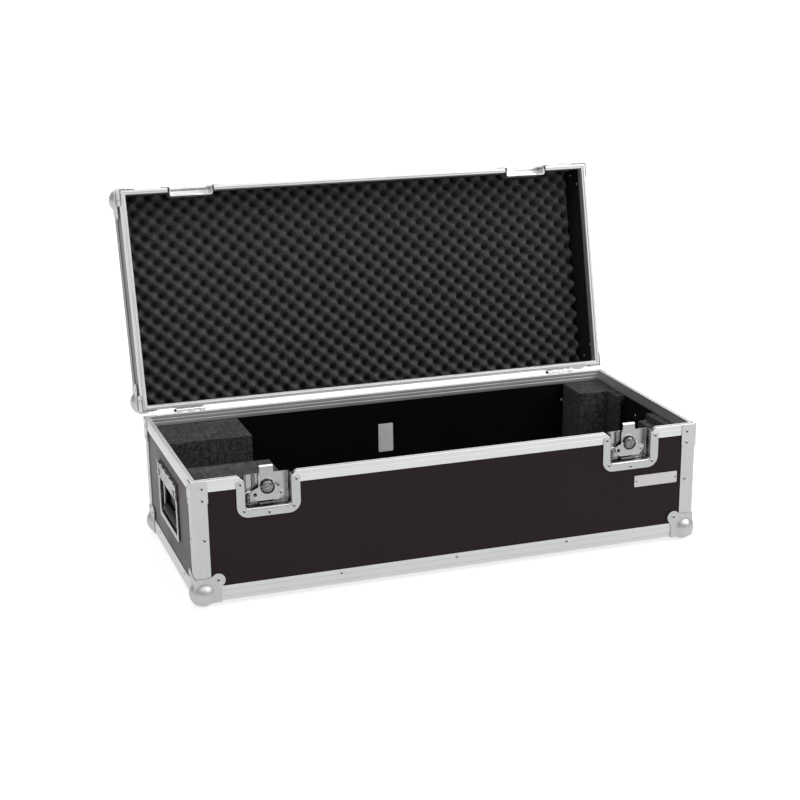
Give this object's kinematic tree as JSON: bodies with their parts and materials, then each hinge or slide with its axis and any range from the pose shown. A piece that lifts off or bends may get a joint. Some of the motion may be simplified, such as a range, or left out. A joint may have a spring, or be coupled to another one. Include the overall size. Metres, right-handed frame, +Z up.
{
  "type": "flight case",
  "caption": "Aluminium-edged lighting flight case with its lid open: recessed butterfly latches, sprung handles, ball corners, hinges and a foam lining.",
  "frame": {"origin": "on the ground, under the middle of the box round the open case", "axes": "+X along the length, to the right seen from the latches; +Y from the latches to the hinges; +Z up"},
  "size_m": [1.0214, 0.655, 0.6741],
  "materials": {
    "extrusion": "bright drawn aluminium with fine lengthwise lines",
    "steel": "pressed steel, bright zinc plating with light handling marks",
    "chrome": "polished nickel plating",
    "laminate": "plywood under a dark brown laminate, satin, faintly pebbled",
    "foam": "charcoal open-cell foam, dull, fine-pored",
    "rubber": "black moulded rubber, dull"
  },
  "bodies": {
    "base": {"floor_panel": "laminate", "front_panel": "laminate", "back_panel": "laminate", "left_end_panel": "laminate", "right_end_panel": "laminate", "bottom_edge_front": "extrusion", "bottom_edge_back": "extrusion", "bottom_edge_left": "extrusion", "bottom_edge_right": "extrusion", "base_rim_left": "extrusion", "base_rim_right": "extrusion", "base_rim_front": "extrusion", "base_rim_back": "extrusion", "corner_edge_front_left": "extrusion", "corner_edge_front_right": "extrusion", "corner_edge_back_right": "extrusion", "corner_edge_back_left": "extrusion", "ball_corner_front_left": "steel", "ball_corner_front_right": "steel", "ball_corner_back_right": "steel", "ball_corner_back_left": "steel", "left_latch_dish": "steel", "right_latch_dish": "steel", "left_handle_dish": "steel", "right_handle_dish": "steel", "left_hinge_base_leaf": "steel", "right_hinge_base_leaf": "steel", "left_hinge_pin": "steel", "right_hinge_pin": "steel", "foam_front_left": "foam", "foam_back_left": "foam", "foam_back_left_second": "foam", "foam_back_right_sheet": "foam", "foam_back_right": "foam", "foam_front_right": "foam"},
    "lid": {"lid_walls": "laminate", "lid_top_panel": "laminate", "lid_edge_frame": "extrusion", "lid_rim_frame": "extrusion", "lid_rim_front": "extrusion", "lid_ball_corner_back_left": "steel", "lid_ball_corner_back_right": "steel", "lid_ball_corner_front_right": "steel", "lid_ball_corner_front_left": "steel", "left_keeper_dish": "steel", "right_keeper_dish": "steel", "left_hinge_lid_leaf": "steel", "right_hinge_lid_leaf": "steel", "lid_foam": "foam"},
    "left_hub": {"left_latch_hub": "chrome"},
    "left_wing": {"left_latch_wing": "steel"},
    "left_hook": {"left_latch_hook": "steel"},
    "left_bail": {"left_handle_bail": "steel", "left_handle_grip": "rubber"},
    "right_hub": {"right_latch_hub": "chrome"},
    "right_wing": {"right_latch_wing": "steel"},
    "right_hook": {"right_latch_hook": "steel"},
    "right_bail": {"right_handle_bail": "steel", "right_handle_grip": "rubber"}
  },
  "joints": [
    {"name": "lid_hinge", "type": "hinge", "parent": "base", "child": "lid", "pos_m": [0, 0.12321, 0.2442], "axis": [1, 0, 0], "range_deg": [0, 103.4]},
    {"name": "left_hub_turn", "type": "hinge", "parent": "base", "child": "left_hub", "pos_m": [-0.36, -0.31679, 0.2152], "axis": [0, -1, 0], "range_deg": [0, 180]},
    {"name": "left_wing_fold", "type": "hinge", "parent": "left_hub", "child": "left_wing", "pos_m": [-0.36, -0.30899, 0.2152], "axis": [-1, 0, 0], "range_deg": [0, 90]},
    {"name": "left_hook_pull", "type": "slide", "parent": "base", "child": "left_hook", "axis": [0, -0.2811, 0.9597], "range_m": [-0.00729, 0]},
    {"name": "left_bail_swing", "type": "hinge", "parent": "base", "child": "left_bail", "pos_m": [-0.494, -0.09929, 0.1732], "axis": [0, 1, 0], "range_deg": [0, 90], "stiffness_Nm_per_rad": 0.25, "springref_deg": -5.73},
    {"name": "right_hub_turn", "type": "hinge", "parent": "base", "child": "right_hub", "pos_m": [0.36, -0.31679, 0.2152], "axis": [0, -1, 0], "range_deg": [0, 180]},
    {"name": "right_wing_fold", "type": "hinge", "parent": "right_hub", "child": "right_wing", "pos_m": [0.36, -0.30899, 0.2152], "axis": [-1, 0, 0], "range_deg": [0, 90]},
    {"name": "right_hook_pull", "type": "slide", "parent": "base", "child": "right_hook", "axis": [0, -0.2811, 0.9597], "range_m": [-0.00729, 0]},
    {"name": "right_bail_swing", "type": "hinge", "parent": "base", "child": "right_bail", "pos_m": [0.494, -0.09929, 0.1732], "axis": [0, -1, 0], "range_deg": [0, 90], "stiffness_Nm_per_rad": 0.25, "springref_deg": -5.73}
  ],
  "couplings": [
    {"joint": "left_hook_pull", "follows": "left_hub_turn", "m_per_rad": -0.0023211},
    {"joint": "right_hook_pull", "follows": "right_hub_turn", "m_per_rad": -0.0023211}
  ]
}
